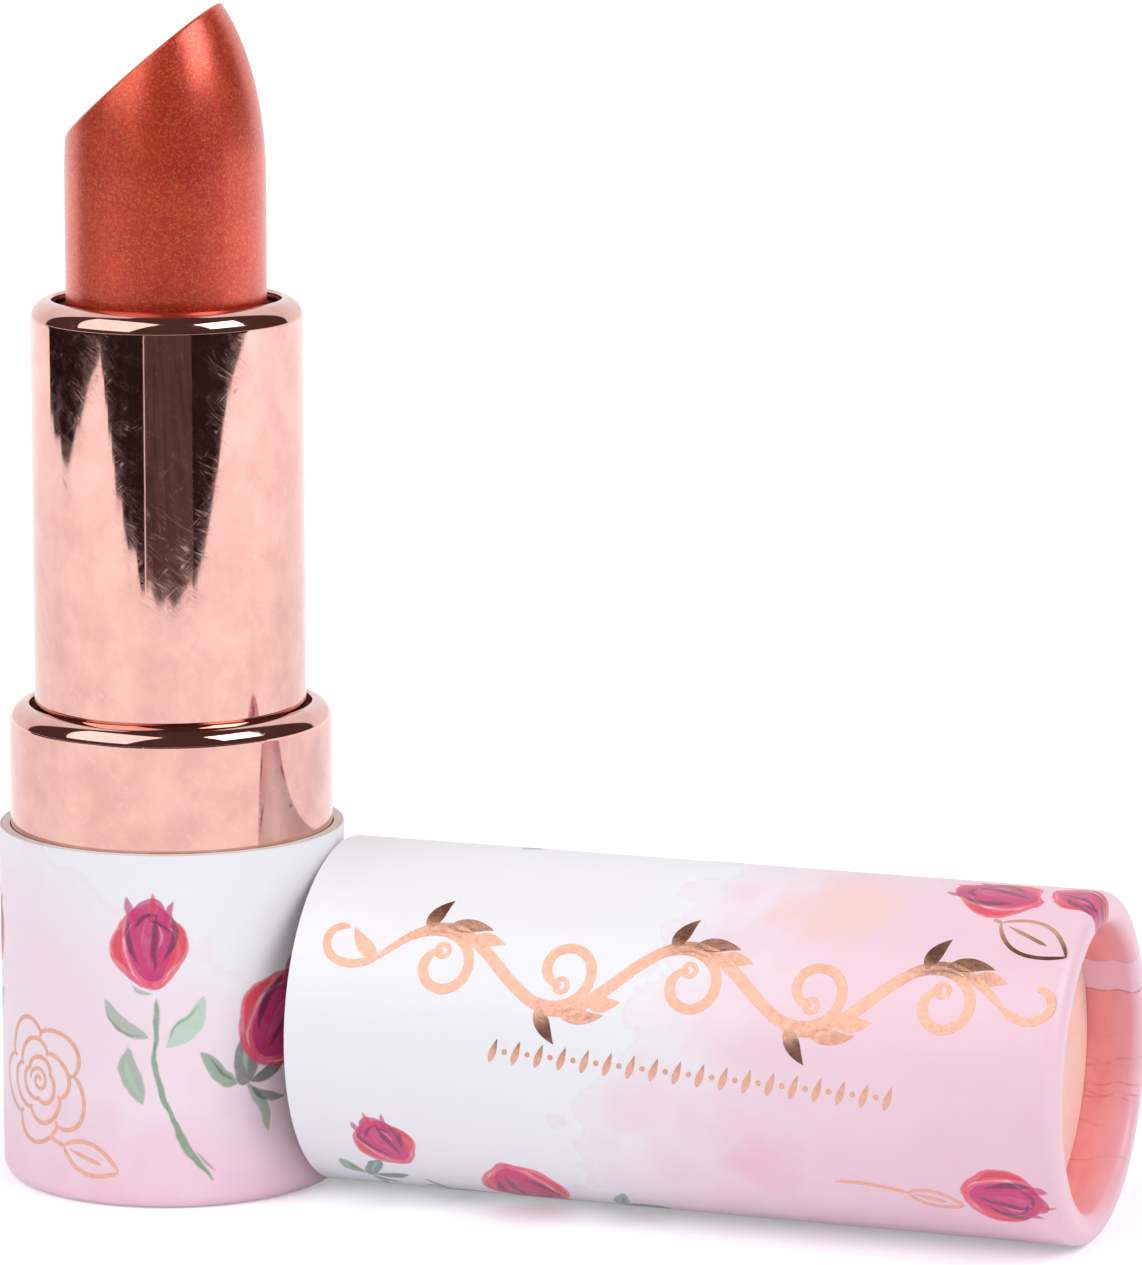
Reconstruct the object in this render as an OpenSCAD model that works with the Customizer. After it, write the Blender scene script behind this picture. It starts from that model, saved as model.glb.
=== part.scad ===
// Twist-up lipstick in a paper-covered case, with its cap lying beside it.
// Millimetres. The case stands on z = 0 about the z axis, with the bullet raised.
// The cap lies on its side along +X, with its open end next to the case.

/* [Bullet] */
// Diameter of the moulded bullet
bullet_d = 12.1; // [10:0.1:15]
// Height of the bullet that shows above the shell when it is raised
bullet_show = 17.7; // [14:0.1:24]
// Depth of the bullet that sits in its cup
bullet_seat = 8.2; // [6:0.1:11]
// Height of the rounded dome that the slant is cut through
dome_h = 12.5; // [9:0.1:15]
// How far the uncut dome would stand above the slant's top edge
dome_over = 2.2; // [1.5:0.1:3]
// Angle of the slanted face above the horizontal
slant_angle = 41; // [30:1:55]
// How far past the axis the top edge of the slant lies
slant_past_axis = 3.25; // [2:0.05:4.5]
// Direction that the slanted face looks, about the axis
slant_facing = 190; // [0:1:360]

/* [Mechanism] */
// How far the bullet travels down into the shell
travel = 20; // [14:0.5:24]
// Turns of the shell for the whole travel
twist_turns = 1.25; // [1:0.05:2]
// Wall of the cup that holds the bullet
cup_t = 0.5; // [0.4:0.05:0.8]
// Thickness of the cup's floor
cup_floor_t = 1; // [0.8:0.1:1.6]
// Wall of the slotted sleeve
sleeve_t = 0.5; // [0.4:0.05:0.8]
// Wall of the spiral sleeve
spiral_t = 0.53; // [0.4:0.01:0.9]
// Diameter of the two lugs on the cup
lug_d = 1.6; // [1.2:0.1:2]
// Height of the lugs' centres above the bottom of the cup
lug_rise = 2; // [1.4:0.1:3]
// Free play around a lug in its slot and its spiral
lug_play = 0.2; // [0.15:0.05:0.35]
// Section diameter of the rubber ring that gives the twist its drag
ring_d = 0.36; // [0.3:0.02:0.44]

/* [Shell and collar] */
// Wall of the metal shell
shell_t = 0.47; // [0.35:0.01:0.7]
// Height of the shell that shows above the collar
shell_show = 24.6; // [20:0.1:32]
// Radius of the rolled rim at the top of the shell
shell_roll = 1.25; // [0.9:0.05:1.3]
// Wall of the metal collar
collar_t = 0.45; // [0.35:0.01:0.6]
// Height of the collar that shows above the case
collar_show = 7.5; // [5:0.1:10]
// Depth of the collar inside the case
collar_seat = 6; // [4:0.1:8]
// Radial room from the outside of the shell to the outside of the collar
collar_room = 1.55; // [1.5:0.01:1.8]
// Radius of the rolled rim at the top of the collar
collar_roll = 1.15; // [0.9:0.05:1.2]

/* [Case and cap] */
// Height of the paper-covered case below the collar
base_h = 21.75; // [18:0.05:30]
// Length of the cap
cap_len = 47.6; // [44:0.1:60]
// Wall of the paperboard tubes
board_t = 0.52; // [0.4:0.01:0.9]
// Thickness of the printed paper
wrap_t = 0.12; // [0.08:0.01:0.2]
// Depth of the recess in the closed end of the cap
cap_recess = 3.3; // [1.5:0.1:4]
// Depth of the recess under the case
base_recess = 1.6; // [1.2:0.1:3]
// Width of the rolled rim round the closed ends
end_rim = 2.05; // [1.8:0.05:3]
// Rounding of the outside of the closed ends
end_round = 1; // [0.7:0.05:1.1]
// Rounding of the inside of the closed ends
lip_round = 0.7; // [0.3:0.05:0.8]
// Thickness of the card discs in the closed ends
card_t = 0.5; // [0.3:0.05:0.8]
// Radial room between the shell and the cap's liner
liner_room = 0.4; // [0.3:0.05:0.7]
// Depth from the cap's mouth to the start of its liner, past the collar
mouth_extra = 0.5; // [0.3:0.1:2]
// Thickness of the plastic floors and of the sleeve's stem
floor_t = 1.2; // [1:0.1:2]
// Thickness of the sleeve's flange, which the shell turns on
flange_t = 1; // [0.8:0.1:1.5]

/* [Weight and label] */
// Diameter of the steel weight in the case
weight_d = 13; // [10:0.5:15]
// Height of the steel weight
weight_h = 5.5; // [4:0.1:6.5]
// Diameter of the round label under the case
label_d = 13; // [9:0.5:15]
// Thickness of the label
label_t = 0.08; // [0.06:0.01:0.15]

/* [Where the cap lies] */
// Space between the case and the cap's mouth
cap_gap = 0.15; // [0.1:0.05:5]
// How far the cap's axis lies behind the case's axis
cap_aside = 1.95; // [-4:0.05:4]

/* [Hidden] */
$fn = 96;

// Clearances: run_gap turns or slides, slip_gap pulls off by hand, end_gap is between stops,
// and cup_gap is left under the cup when the bullet is all the way down.
run_gap = 0.1;
slip_gap = 0.06;
end_gap = 0.1;
cup_gap = 0.4;

// How far the flange stands above the case, the bead that keeps the spiral on the sleeve,
// the groove for the rubber ring, and how far a cutter passes the wall that it cuts.
flange_rise = 0.25;
bead_h = 0.7;
ring_groove = 0.3;
past = 1;

// Radii, from the bullet outwards.
bullet_r = bullet_d / 2;
cup_r = bullet_r + cup_t;
sleeve_in_r = cup_r + run_gap;
sleeve_r = sleeve_in_r + sleeve_t;
spiral_in_r = sleeve_r + run_gap;
spiral_r = spiral_in_r + spiral_t;
shell_r = spiral_r + shell_t;
guide_in_r = shell_r + run_gap;
collar_r = shell_r + collar_room;
collar_in_r = collar_r - collar_t;
board_in_r = collar_r + slip_gap;
board_r = board_in_r + board_t;
case_r = board_r + wrap_t;
liner_in_r = shell_r + liner_room;
end_r = case_r - end_rim;
stem_r = weight_d / 2;

// Heights, from the floor upwards.
collar_top = base_h + collar_show;
shell_top = collar_top + shell_show;
flange_top = base_h + flange_rise;
core_top = flange_top - flange_t;
shell_bottom = flange_top + end_gap;
cup_bottom = flange_top + cup_gap + travel;
cup_top = cup_bottom + cup_floor_t + bullet_seat;
lug_z = cup_bottom + lug_rise;
sleeve_top = shell_top - shell_roll - bead_h;
spiral_top = sleeve_top - bead_h - end_gap;
bead_r = (spiral_in_r + spiral_r) / 2;
bullet_bottom = cup_bottom + cup_floor_t;
bullet_top = shell_top + bullet_show;
ring_z = (lug_z + lug_d + spiral_top) / 2;

// The closed ends, from the outside in: paper, card, then the plastic floor.
base_card_z = base_recess + wrap_t;
weight_z = base_card_z + card_t + floor_t;
stem_z = weight_z + weight_h;
cap_card_z = cap_recess + wrap_t;
cap_inside_z = cap_card_z + card_t + floor_t;
liner_top = cap_len - collar_show - mouth_extra;
cap_x = case_r + cap_gap;

// The spiral, as the lugs run in it: a rise for each degree that the shell turns.
twist_deg = 360 * twist_turns;
rise_per_deg = travel / twist_deg;
spiral_slope = atan(travel / (twist_turns * 2 * PI * sleeve_r));
slot_w = lug_d + 2 * lug_play;
slot_h = slot_w / cos(spiral_slope);
slot_end_deg = (slot_w / 2) / sleeve_r * 180 / PI;
helix_step = 9;

// ---- Shared shapes ----

module disc(r, z_low, z_high) {
  translate([0, 0, z_low])
    cylinder(r = r, h = z_high - z_low);
}

// A ring about the z axis with square edges.
module ring(r_in, r_out, z_low, z_high) {
  difference() {
    disc(r_out, z_low, z_high);
    disc(r_in, z_low - past, z_high + past);
  }
}

// What a rounding of radius k takes off the corner at the origin of a section
// that lies at x < 0, y > 0.
module corner_cut(k) {
  difference() {
    translate([-k, -past])
      square([k + past, k + past]);
    translate([-k, k])
      circle(r = k);
  }
}

// The section of a wall whose lower end is rounded on both sides.
module rounded_wall(r_in, r_out, z_low, z_high, k_in, k_out) {
  difference() {
    translate([r_in, z_low])
      square([r_out - r_in, z_high - z_low]);
    translate([r_out, z_low])
      corner_cut(k_out);
    translate([r_in, z_low])
      mirror([1, 0])
        corner_cut(k_in);
  }
}

// The section of a metal wall of thickness t that rolls inwards at its top.
module rolled_wall(r_out, t, z_low, z_top, roll) {
  translate([r_out - t, z_low])
    square([t, z_top - roll - z_low]);
  translate([r_out - roll, z_top - roll])
    intersection() {
      difference() {
        circle(r = roll);
        circle(r = roll - t);
      }
      square(roll + past);
    }
}

// ---- Closed ends: drawn with the rolled rim at z = 0 and the tube upwards ----

// The section of all that the paper skin covers, above its turned-in edge.
module wrap_filling(length, turn_in) {
  rounded_wall(end_r + wrap_t, board_r, wrap_t, length, lip_round - wrap_t, end_round - wrap_t);
  translate([end_r - past, turn_in])
    square([board_r - end_r + past, length - turn_in]);
}

// The printed paper: up the outside, round the rim and turned in as far as the recess.
module wrap_skin(length, turn_in) {
  rotate_extrude()
    difference() {
      rounded_wall(end_r, case_r, 0, length, lip_round, end_round);
      wrap_filling(length + past, turn_in);
    }
}

// The paperboard tube inside the paper.
module board_tube(length, turn_in) {
  rotate_extrude()
    intersection() {
      wrap_filling(length, turn_in);
      translate([board_in_r, 0])
        square([board_t, length]);
    }
}

// The plastic inside the tube, from the rolled rim to height top, hollowed for the card disc.
module end_core(card_z, top) {
  difference() {
    union() {
      rotate_extrude()
        intersection() {
          wrap_filling(top, card_z);
          square([board_in_r, top]);
        }
      disc(board_in_r, card_z + card_t, top);
    }
    disc(end_r + wrap_t, -past, card_z + card_t);
  }
}

// ---- The case ----

module base_wrap() {
  color("lavenderblush")
    wrap_skin(base_h, base_card_z);
}

module base_tube() {
  color("burlywood")
    board_tube(base_h, base_card_z);
}

module base_end_paper() {
  color("mistyrose")
    disc(end_r, base_recess, base_card_z);
}

module base_card_disc() {
  color("tan")
    disc(end_r + wrap_t, base_card_z, base_card_z + card_t);
}

module shade_label() {
  color("white")
    disc(label_d / 2, base_recess - label_t, base_recess);
}

// The plastic core: the paper tube, the collar and the sleeve's stem are all fixed to it.
module inner_base() {
  color("white")
    difference() {
      union() {
        end_core(base_card_z, base_h - collar_seat);
        disc(collar_in_r, base_h - collar_seat, core_top);
      }
      disc(stem_r, weight_z, core_top + past);
    }
}

module base_weight() {
  color("silver")
    disc(weight_d / 2, weight_z, stem_z);
}

module collar() {
  color("rosybrown")
    rotate_extrude()
      rolled_wall(collar_r, collar_t, base_h - collar_seat, collar_top, collar_roll);
}

// Holds the shell centred where it turns inside the collar.
module guide_ring() {
  color("gainsboro")
    ring(guide_in_r, collar_in_r, flange_top, collar_top - collar_roll);
}

// ---- The twist mechanism ----

// A slot through both walls of a sleeve, from one height to another.
module lug_slot(z_low, z_high) {
  reach = sleeve_r + past;
  translate([-reach, -slot_w / 2, z_low])
    cube([2 * reach, slot_w, z_high - z_low]);
  for (z = [z_low, z_high])
    translate([-reach, 0, z])
      rotate([0, 90, 0])
        cylinder(d = slot_w, h = 2 * reach);
}

module slotted_sleeve() {
  color("whitesmoke")
    difference() {
      union() {
        ring(sleeve_in_r, sleeve_r, flange_top, sleeve_top);
        ring(sleeve_in_r, bead_r, sleeve_top - bead_h, sleeve_top);
        disc(collar_in_r, core_top, flange_top);
        ring(stem_r - floor_t, stem_r, stem_z, core_top);
      }
      lug_slot(lug_z - travel, lug_z);
      rotate_extrude()
        translate([sleeve_r - ring_groove, ring_z - ring_d / 2])
          square([ring_groove + past, ring_d]);
    }
}

// The rubber ring in the sleeve's groove, which the spiral sleeve rubs on.
module torque_ring() {
  color("dimgray")
    translate([0, 0, ring_z])
      rotate_extrude()
        translate([sleeve_r - ring_groove + ring_d / 2, 0])
          circle(d = ring_d);
}

// One helical cutter: at each angle, a flat quad from inside the wall to outside it.
module helix_cutter() {
  r_low = spiral_in_r - spiral_t;
  r_high = spiral_r + spiral_t;
  first = -twist_deg - slot_end_deg;
  last = slot_end_deg;
  steps = ceil((last - first) / helix_step);
  points = [
    for (i = [0:steps])
      let (a = first + (last - first) * i / steps, z = lug_z + a * rise_per_deg)
        for (corner = [[r_low, -1], [r_high, -1], [r_high, 1], [r_low, 1]])
          [corner[0] * cos(a), corner[0] * sin(a), z + corner[1] * slot_h / 2]
  ];
  sides = [
    for (i = [0:steps - 1], j = [0:3])
      [4 * i + j, 4 * i + (j + 1) % 4, 4 * i + 4 + (j + 1) % 4, 4 * i + 4 + j]
  ];
  ends = [[3, 2, 1, 0], [for (j = [0:3]) 4 * steps + j]];
  polyhedron(points, concat(sides, ends));
}

module spiral_sleeve() {
  color("lightgray")
    difference() {
      ring(spiral_in_r, spiral_r, shell_bottom, spiral_top);
      for (a = [0, 180])
        rotate([0, 0, a])
          helix_cutter();
    }
}

module shell() {
  color("lightsalmon")
    rotate_extrude()
      rolled_wall(shell_r, shell_t, shell_bottom, shell_top, shell_roll);
}

module cup() {
  lug_reach = spiral_r - lug_play;
  color("white") {
    difference() {
      disc(cup_r, cup_bottom, cup_top);
      disc(bullet_r, bullet_bottom, cup_top + past);
    }
    difference() {
      translate([-lug_reach, 0, lug_z])
        rotate([0, 90, 0])
          cylinder(d = lug_d, h = 2 * lug_reach);
      disc(cup_r - cup_t / 2, cup_bottom, cup_top);
    }
  }
}

// Half of the moulded outline: a straight side and an elliptic dome.
module bullet_outline() {
  dome_z = bullet_top + dome_over - dome_h;
  polygon(concat(
    [[0, bullet_bottom], [bullet_r, bullet_bottom]],
    [for (a = [0:3:90]) [bullet_r * cos(a), dome_z + dome_h * sin(a)]]
  ));
}

module bullet() {
  color("indianred")
    difference() {
      rotate_extrude()
        bullet_outline();
      rotate([0, 0, slant_facing])
        translate([-slant_past_axis, 0, bullet_top])
          rotate([0, slant_angle, 0])
            translate([-bullet_d, -bullet_d, 0])
              cube([3 * bullet_d, 2 * bullet_d, 2 * bullet_d]);
    }
}

// ---- The cap, which lies with its closed end away from the case ----

module lay_cap() {
  translate([cap_x + cap_len, cap_aside, case_r])
    rotate([0, -90, 0])
      children();
}

module cap_wrap() {
  color("pink")
    lay_cap()
      wrap_skin(cap_len, cap_card_z);
}

module cap_tube() {
  color("burlywood")
    lay_cap()
      board_tube(cap_len, cap_card_z);
}

// The liner carries the closed end and stops short of the mouth, to leave room for the collar.
module cap_liner() {
  color("white")
    lay_cap()
      difference() {
        end_core(cap_card_z, liner_top);
        disc(liner_in_r, cap_inside_z, liner_top + past);
      }
}

module cap_card_disc() {
  color("tan")
    lay_cap()
      disc(end_r + wrap_t, cap_card_z, cap_card_z + card_t);
}

module cap_end_paper() {
  color("peachpuff")
    lay_cap()
      disc(end_r, cap_recess, cap_card_z);
}

base_wrap();
base_tube();
base_end_paper();
base_card_disc();
shade_label();
inner_base();
base_weight();
collar();
guide_ring();
slotted_sleeve();
torque_ring();
spiral_sleeve();
shell();
cup();
bullet();
cap_wrap();
cap_tube();
cap_liner();
cap_card_disc();
cap_end_paper();
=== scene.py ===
# %% [markdown]
# # A twist-up lipstick in a paper-covered case
#
# The lipstick stands with its bullet raised, and its cap lies beside it.
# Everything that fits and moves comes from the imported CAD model, which is loaded first and never changed.
# This notebook adds the looks: finely turned metal, a smooth bullet, printed paper, foil and studio light.

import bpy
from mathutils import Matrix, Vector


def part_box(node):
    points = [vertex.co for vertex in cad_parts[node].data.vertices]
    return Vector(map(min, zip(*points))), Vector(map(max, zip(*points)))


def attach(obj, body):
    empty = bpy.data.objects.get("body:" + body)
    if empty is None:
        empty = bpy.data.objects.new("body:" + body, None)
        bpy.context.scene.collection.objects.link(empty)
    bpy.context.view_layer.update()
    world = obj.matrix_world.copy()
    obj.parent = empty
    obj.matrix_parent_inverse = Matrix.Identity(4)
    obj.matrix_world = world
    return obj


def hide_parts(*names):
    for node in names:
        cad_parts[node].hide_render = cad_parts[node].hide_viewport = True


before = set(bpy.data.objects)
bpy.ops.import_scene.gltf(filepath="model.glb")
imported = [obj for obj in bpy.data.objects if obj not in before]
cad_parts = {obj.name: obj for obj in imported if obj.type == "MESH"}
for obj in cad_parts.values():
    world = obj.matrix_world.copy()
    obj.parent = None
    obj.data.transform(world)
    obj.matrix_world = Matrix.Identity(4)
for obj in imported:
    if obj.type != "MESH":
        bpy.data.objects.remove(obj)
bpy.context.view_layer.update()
print("nodes in the frame:", len(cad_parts))

# %% Libraries and units
import math

import bmesh
import bpy
from mathutils import Vector

MM = 0.001
scene = bpy.context.scene
scene.view_settings.view_transform = "Standard"

# %% [markdown]
# ## Where things are
#
# A maker measures before cutting. The sizes of what fits are read from the CAD nodes, so a piece that is
# made only for its looks can't drift away from the part that it stands for. They are kept in millimetres,
# because that is how a person thinks about a lipstick, and are scaled to metres when a mesh is made.

# %% Measures from the frame
def box_mm(node):
    low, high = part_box(node)
    return low / MM, high / MM


_, case_high = box_mm("base_wrap")
shell_low, shell_high = box_mm("shell")
collar_low, collar_high = box_mm("collar")
bullet_low, bullet_high = box_mm("bullet")
cap_low, cap_high = box_mm("cap_wrap")
recess_low, recess_high = box_mm("cap_end_paper")
_, foot_high = box_mm("base_end_paper")

case_r = case_high.x
case_top = case_high.z
cap_length = cap_high.x - cap_low.x
cap_y = (cap_low.y + cap_high.y) / 2
cap_z = (cap_low.z + cap_high.z) / 2
end_r = recess_high.z - cap_z
print(f"case radius {case_r:.2f} mm, cap {cap_length:.2f} mm long, recess radius {end_r:.2f} mm")

# %% [markdown]
# ## The camera
#
# A long lens from a little above gives the flat, calm look of a catalogue picture. The camera stands in
# front of the case and a little to its right. It only has to be aimed and never has to be shifted.

# %% Camera
CAMERA_SPOT = Vector((158.91, -376.95, 107.88)) * MM
CAMERA_TURN = 0.3395
CAMERA_DIP = 0.1805
LENS_MM = 194.85

camera_data = bpy.data.cameras.new("camera")
camera_data.lens = LENS_MM
camera_data.sensor_width = 36
camera_data.clip_start = 0.01
camera = bpy.data.objects.new("camera", camera_data)
camera.location = CAMERA_SPOT
camera.rotation_euler = (math.pi / 2 - CAMERA_DIP, 0, CAMERA_TURN)
scene.collection.objects.link(camera)
scene.camera = camera

FRONT = math.atan2(CAMERA_SPOT.y, CAMERA_SPOT.x)
print("the print's front looks toward", round(math.degrees(FRONT), 1), "degrees")

# %% [markdown]
# ## Lathe work
#
# The shell, the collar, the paper and the bullet are all turned shapes. Blender's Screw modifier could spin
# an outline, but here the outline is spun in mesh code, because then a small change of radius along the way
# can give the wrinkles of turned-in paper. Long straight walls get a ring of points close to each bend, so
# that smooth shading stays true right up to the bend, which polished metal would otherwise give away.

# %% Outline helpers
def arc(centre_r, centre_h, radius, first, last, steps):
    """Points on an arc of an outline, from one angle to another in degrees."""
    points = []
    for i in range(steps + 1):
        a = math.radians(first + (last - first) * i / steps)
        points.append((centre_r + radius * math.cos(a), centre_h + radius * math.sin(a)))
    return points


def hold_bends(outline, hold=0.04, longest=2.5):
    """Adds points near the ends of long straight stretches, and splits what is left evenly."""
    held = []
    for i, start in enumerate(outline):
        end = outline[(i + 1) % len(outline)]
        held.append(start)
        length = math.dist(start, end)
        if length < 6 * hold:
            continue
        pieces = max(1, math.ceil((length - 2 * hold) / longest))
        marks = [hold + (length - 2 * hold) * k / pieces for k in range(pieces + 1)]
        for mark in marks:
            f = mark / length
            held.append((start[0] + (end[0] - start[0]) * f, start[1] + (end[1] - start[1]) * f))
    return held


# %% The lathe
SHARP_FROM = math.radians(40)


def new_piece(name, body):
    mesh = bpy.data.meshes.new(name)
    piece = bpy.data.objects.new(name, mesh)
    scene.collection.objects.link(piece)
    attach(piece, body)
    return piece


def fill_piece(piece, form):
    """Writes a bmesh into a piece, with its faces turned outwards and shaded smooth."""
    bmesh.ops.recalc_face_normals(form, faces=form.faces)
    for face in form.faces:
        face.smooth = True
    for edge in form.edges:
        edge.smooth = edge.calc_face_angle(0.0) < SHARP_FROM
    form.to_mesh(piece.data)
    form.free()
    return piece


def lathe(piece, outline, place, segments=256, carve=None):
    """Spins a closed outline of (radius, height) points. place turns them into a spot in the frame."""
    form = bmesh.new()
    rings = []
    for i in range(segments):
        a = 2 * math.pi * i / segments
        ring = []
        for r, h in outline:
            r_here = r + carve(r, h, a) if carve else r
            ring.append(form.verts.new(place(r_here, a, h) * MM))
        rings.append(ring)
    count = len(outline)
    for i, ring in enumerate(rings):
        following = rings[(i + 1) % segments]
        for j in range(count):
            k = (j + 1) % count
            form.faces.new((ring[j], following[j], following[k], ring[k]))
    return fill_piece(piece, form)


def on_case(r, a, h):
    """A spot at radius r, angle a and height h about the case's axis."""
    return Vector((r * math.cos(a), r * math.sin(a), h))


def on_cap(r, a, h):
    """A spot about the cap's axis, with h counted from its closed end towards its mouth."""
    return Vector((cap_high.x - h, cap_y - r * math.cos(a), cap_z + r * math.sin(a)))


# %% [markdown]
# ## Shell and collar
#
# Both are drawn from thin brass or aluminium and rolled inwards at the top. The roll is a quarter circle,
# and the cut edge of the metal ends just past it, slightly rounded from polishing.

# %% Rolled metal bands
SHELL_T = 0.47
SHELL_ROLL = 1.25
COLLAR_T = 0.45
COLLAR_ROLL = 1.15
LIP_NOSE = 0.1
CUT_EDGE = 0.08


def rolled_band(r_out, wall, low, high, roll):
    """A straight wall whose top rolls inwards through a quarter circle and ends in a rounded lip."""
    centre_r = r_out - roll
    centre_h = high - roll
    nose = []
    for k in range(1, 6):
        turn = math.pi * k / 6
        nose.append((centre_r - LIP_NOSE * math.sin(turn), high - wall / 2 + wall / 2 * math.cos(turn)))
    outline = [(r_out - wall + CUT_EDGE, low), (r_out - CUT_EDGE, low), (r_out, low + CUT_EDGE)]
    outline += arc(centre_r, centre_h, roll, 0, 90, 24)
    outline += nose
    outline += arc(centre_r, centre_h, roll - wall, 90, 0, 16)
    outline += [(r_out - wall, low + CUT_EDGE)]
    return hold_bends(outline)


shell_tube = new_piece("shell_tube", "shell")
lathe(shell_tube, rolled_band(shell_high.x, SHELL_T, shell_low.z, shell_high.z, SHELL_ROLL), on_case)
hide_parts("shell")

collar_band = new_piece("collar_band", "case")
lathe(collar_band, rolled_band(collar_high.x, COLLAR_T, collar_low.z, collar_high.z, COLLAR_ROLL), on_case)
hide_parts("collar")
print("shell and collar:", len(shell_tube.data.polygons), len(collar_band.data.polygons), "faces")

# %% [markdown]
# ## The bullet
#
# A lipstick bullet is poured into a mould with a domed end and a slanted face. The side is a turned shape,
# so each strip of points runs up it until it meets the slanting plane. A short curve there rounds the edge
# as the mould does, and rings that shrink towards the middle close the face.

# %% Bullet mesh
BULLET_R = bullet_high.x
BULLET_SHOW = 17.7
DOME_H = 12.5
DOME_OVER = 2.2
SLANT_ANGLE = math.radians(41)
SLANT_PAST_AXIS = 3.25
SLANT_FACING = math.radians(190)
EDGE_ROUND = 0.28
FOOT_ROUND = 0.15

slant_top = shell_high.z + BULLET_SHOW
dome_start = slant_top + DOME_OVER - DOME_H


def slant_height(r, a):
    """Height of the slanted plane over a point at radius r and angle a."""
    return slant_top - math.tan(SLANT_ANGLE) * (r * math.cos(a - SLANT_FACING) + SLANT_PAST_AXIS)


def dome_meets_slant(a):
    """The dome angle at which the moulded side reaches the slanted plane."""
    low, high = 0.0, math.pi / 2
    for _ in range(40):
        middle = (low + high) / 2
        above = dome_start + DOME_H * math.sin(middle) > slant_height(BULLET_R * math.cos(middle), a)
        low, high = (low, middle) if above else (middle, high)
    return low


def bullet_strip(a):
    """(radius, height) points up the side at angle a, then over the rounded edge onto the face."""
    points = [(BULLET_R - FOOT_ROUND, bullet_low.z), (BULLET_R, bullet_low.z + FOOT_ROUND)]
    straight = dome_start - bullet_low.z - FOOT_ROUND
    points += [(BULLET_R, bullet_low.z + FOOT_ROUND + straight * k / 10) for k in range(1, 11)]
    edge = dome_meets_slant(a)
    stop = edge - EDGE_ROUND / DOME_H
    for k in range(1, 49):
        t = stop * k / 48
        points.append((BULLET_R * math.cos(t), dome_start + DOME_H * math.sin(t)))
    corner_r = BULLET_R * math.cos(edge)
    corner = (corner_r, slant_height(corner_r, a))
    inner_r = corner_r - EDGE_ROUND
    inner = (inner_r, slant_height(inner_r, a))
    start = points[-1]
    for k in range(1, 8):
        t = k / 7
        w = ((1 - t) ** 2, 2 * t * (1 - t), t * t)
        points.append(tuple(start[i] * w[0] + corner[i] * w[1] + inner[i] * w[2] for i in (0, 1)))
    return points


def make_bullet():
    piece = new_piece("lipstick_bullet", "carrier")
    form = bmesh.new()
    segments, face_rings = 320, 14
    strips = []
    for i in range(segments):
        a = 2 * math.pi * i / segments
        points = bullet_strip(a)
        last_r = points[-1][0]
        for k in range(1, face_rings):
            r = last_r * (1 - k / face_rings)
            points.append((r, slant_height(r, a)))
        strips.append([form.verts.new(on_case(r, a, h) * MM) for r, h in points])
    tip = form.verts.new(on_case(0, 0, slant_height(0, 0)) * MM)
    under = form.verts.new(on_case(0, 0, bullet_low.z) * MM)
    for i, strip in enumerate(strips):
        following = strips[(i + 1) % segments]
        for j in range(len(strip) - 1):
            form.faces.new((strip[j], following[j], following[j + 1], strip[j + 1]))
        form.faces.new((strip[-1], following[-1], tip))
        form.faces.new((under, following[0], strip[0]))
    return fill_piece(piece, form)


bullet = make_bullet()
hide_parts("bullet")
print("bullet:", len(bullet.data.polygons), "faces")

# %% [markdown]
# ## The printed paper
#
# One sheet is rolled round each board tube, folded over the closed end and tucked into it. Where it turns
# inwards it has to shrink, so it puckers into small wrinkles, and its two ends overlap in a seam.
# The wrinkles are real changes of shape, so they catch the light from every side.

# %% Paper skins
PAPER_T = 0.12
FOIL_ROOM = 0.02
FOLD_R = 1.0
TUCK_R = 0.7
CREASE_H = 0.03
FLAP_STEP = 0.04


def paper_outline(length, turn_in):
    """The sheet's section, from the mouth, round the closed end, to the tucked-in edge and back inside."""
    r = case_r - FOIL_ROOM
    outer = [(r, length)] + arc(r - FOLD_R, FOLD_R, FOLD_R, 0, -90, 14)
    outer += arc(end_r + TUCK_R, TUCK_R, TUCK_R, -90, -180, 12) + [(end_r, turn_in)]
    inner = [(end_r + PAPER_T, turn_in)]
    inner += arc(end_r + TUCK_R, TUCK_R, TUCK_R - PAPER_T, -180, -90, 10)
    inner += arc(r - FOLD_R, FOLD_R, FOLD_R - PAPER_T, -90, 0, 12) + [(r - PAPER_T, length)]
    return hold_bends(outer + inner, hold=0.05, longest=3.0)


def ridge(value, width):
    """A smooth hump of height 1 where the value is 0."""
    return math.exp(-((value / width) ** 2))


def pucker(a, h, places):
    """Creases along the tucked-in paper. Each place is an angle in degrees, a lean and a width in radians."""
    total = 0.0
    for degrees, lean, width in places:
        off = math.remainder(a - math.radians(degrees) - lean * h, 2 * math.pi)
        fade = 0.55 + 0.45 * math.sin(degrees + 2.1 * h)
        total += ridge(off, width) * fade - 0.6 * ridge(off - 1.8 * width, width) * fade
    return max(-1.0, min(1.0, total))


def tucked_carve(turn_in, lap, creases):
    """Moves the tucked-in wall outwards a little: the creases, and the upper flap where the ends overlap.
    All of it together stays under the thickness of the sheet, so the board never shows through."""
    lap_low, lap_high = (math.radians(edge) for edge in lap)

    def carve(r, h, a):
        if r > end_r + TUCK_R * 0.8 or h > turn_in + 0.01:
            return 0.0
        depth = min(1.0, max(0.0, (h - 0.1) / 0.7))
        wave = 0.012 * math.sin(3.1 * h + 0.7)
        past_low = math.remainder(a - lap_low - wave, 2 * math.pi) > 0
        past_high = math.remainder(a - lap_high - wave, 2 * math.pi) >= 0
        flap = 0.0 if past_low and not past_high else FLAP_STEP
        return depth * (CREASE_H + flap + CREASE_H * pucker(a, h, creases))
    return carve


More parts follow.
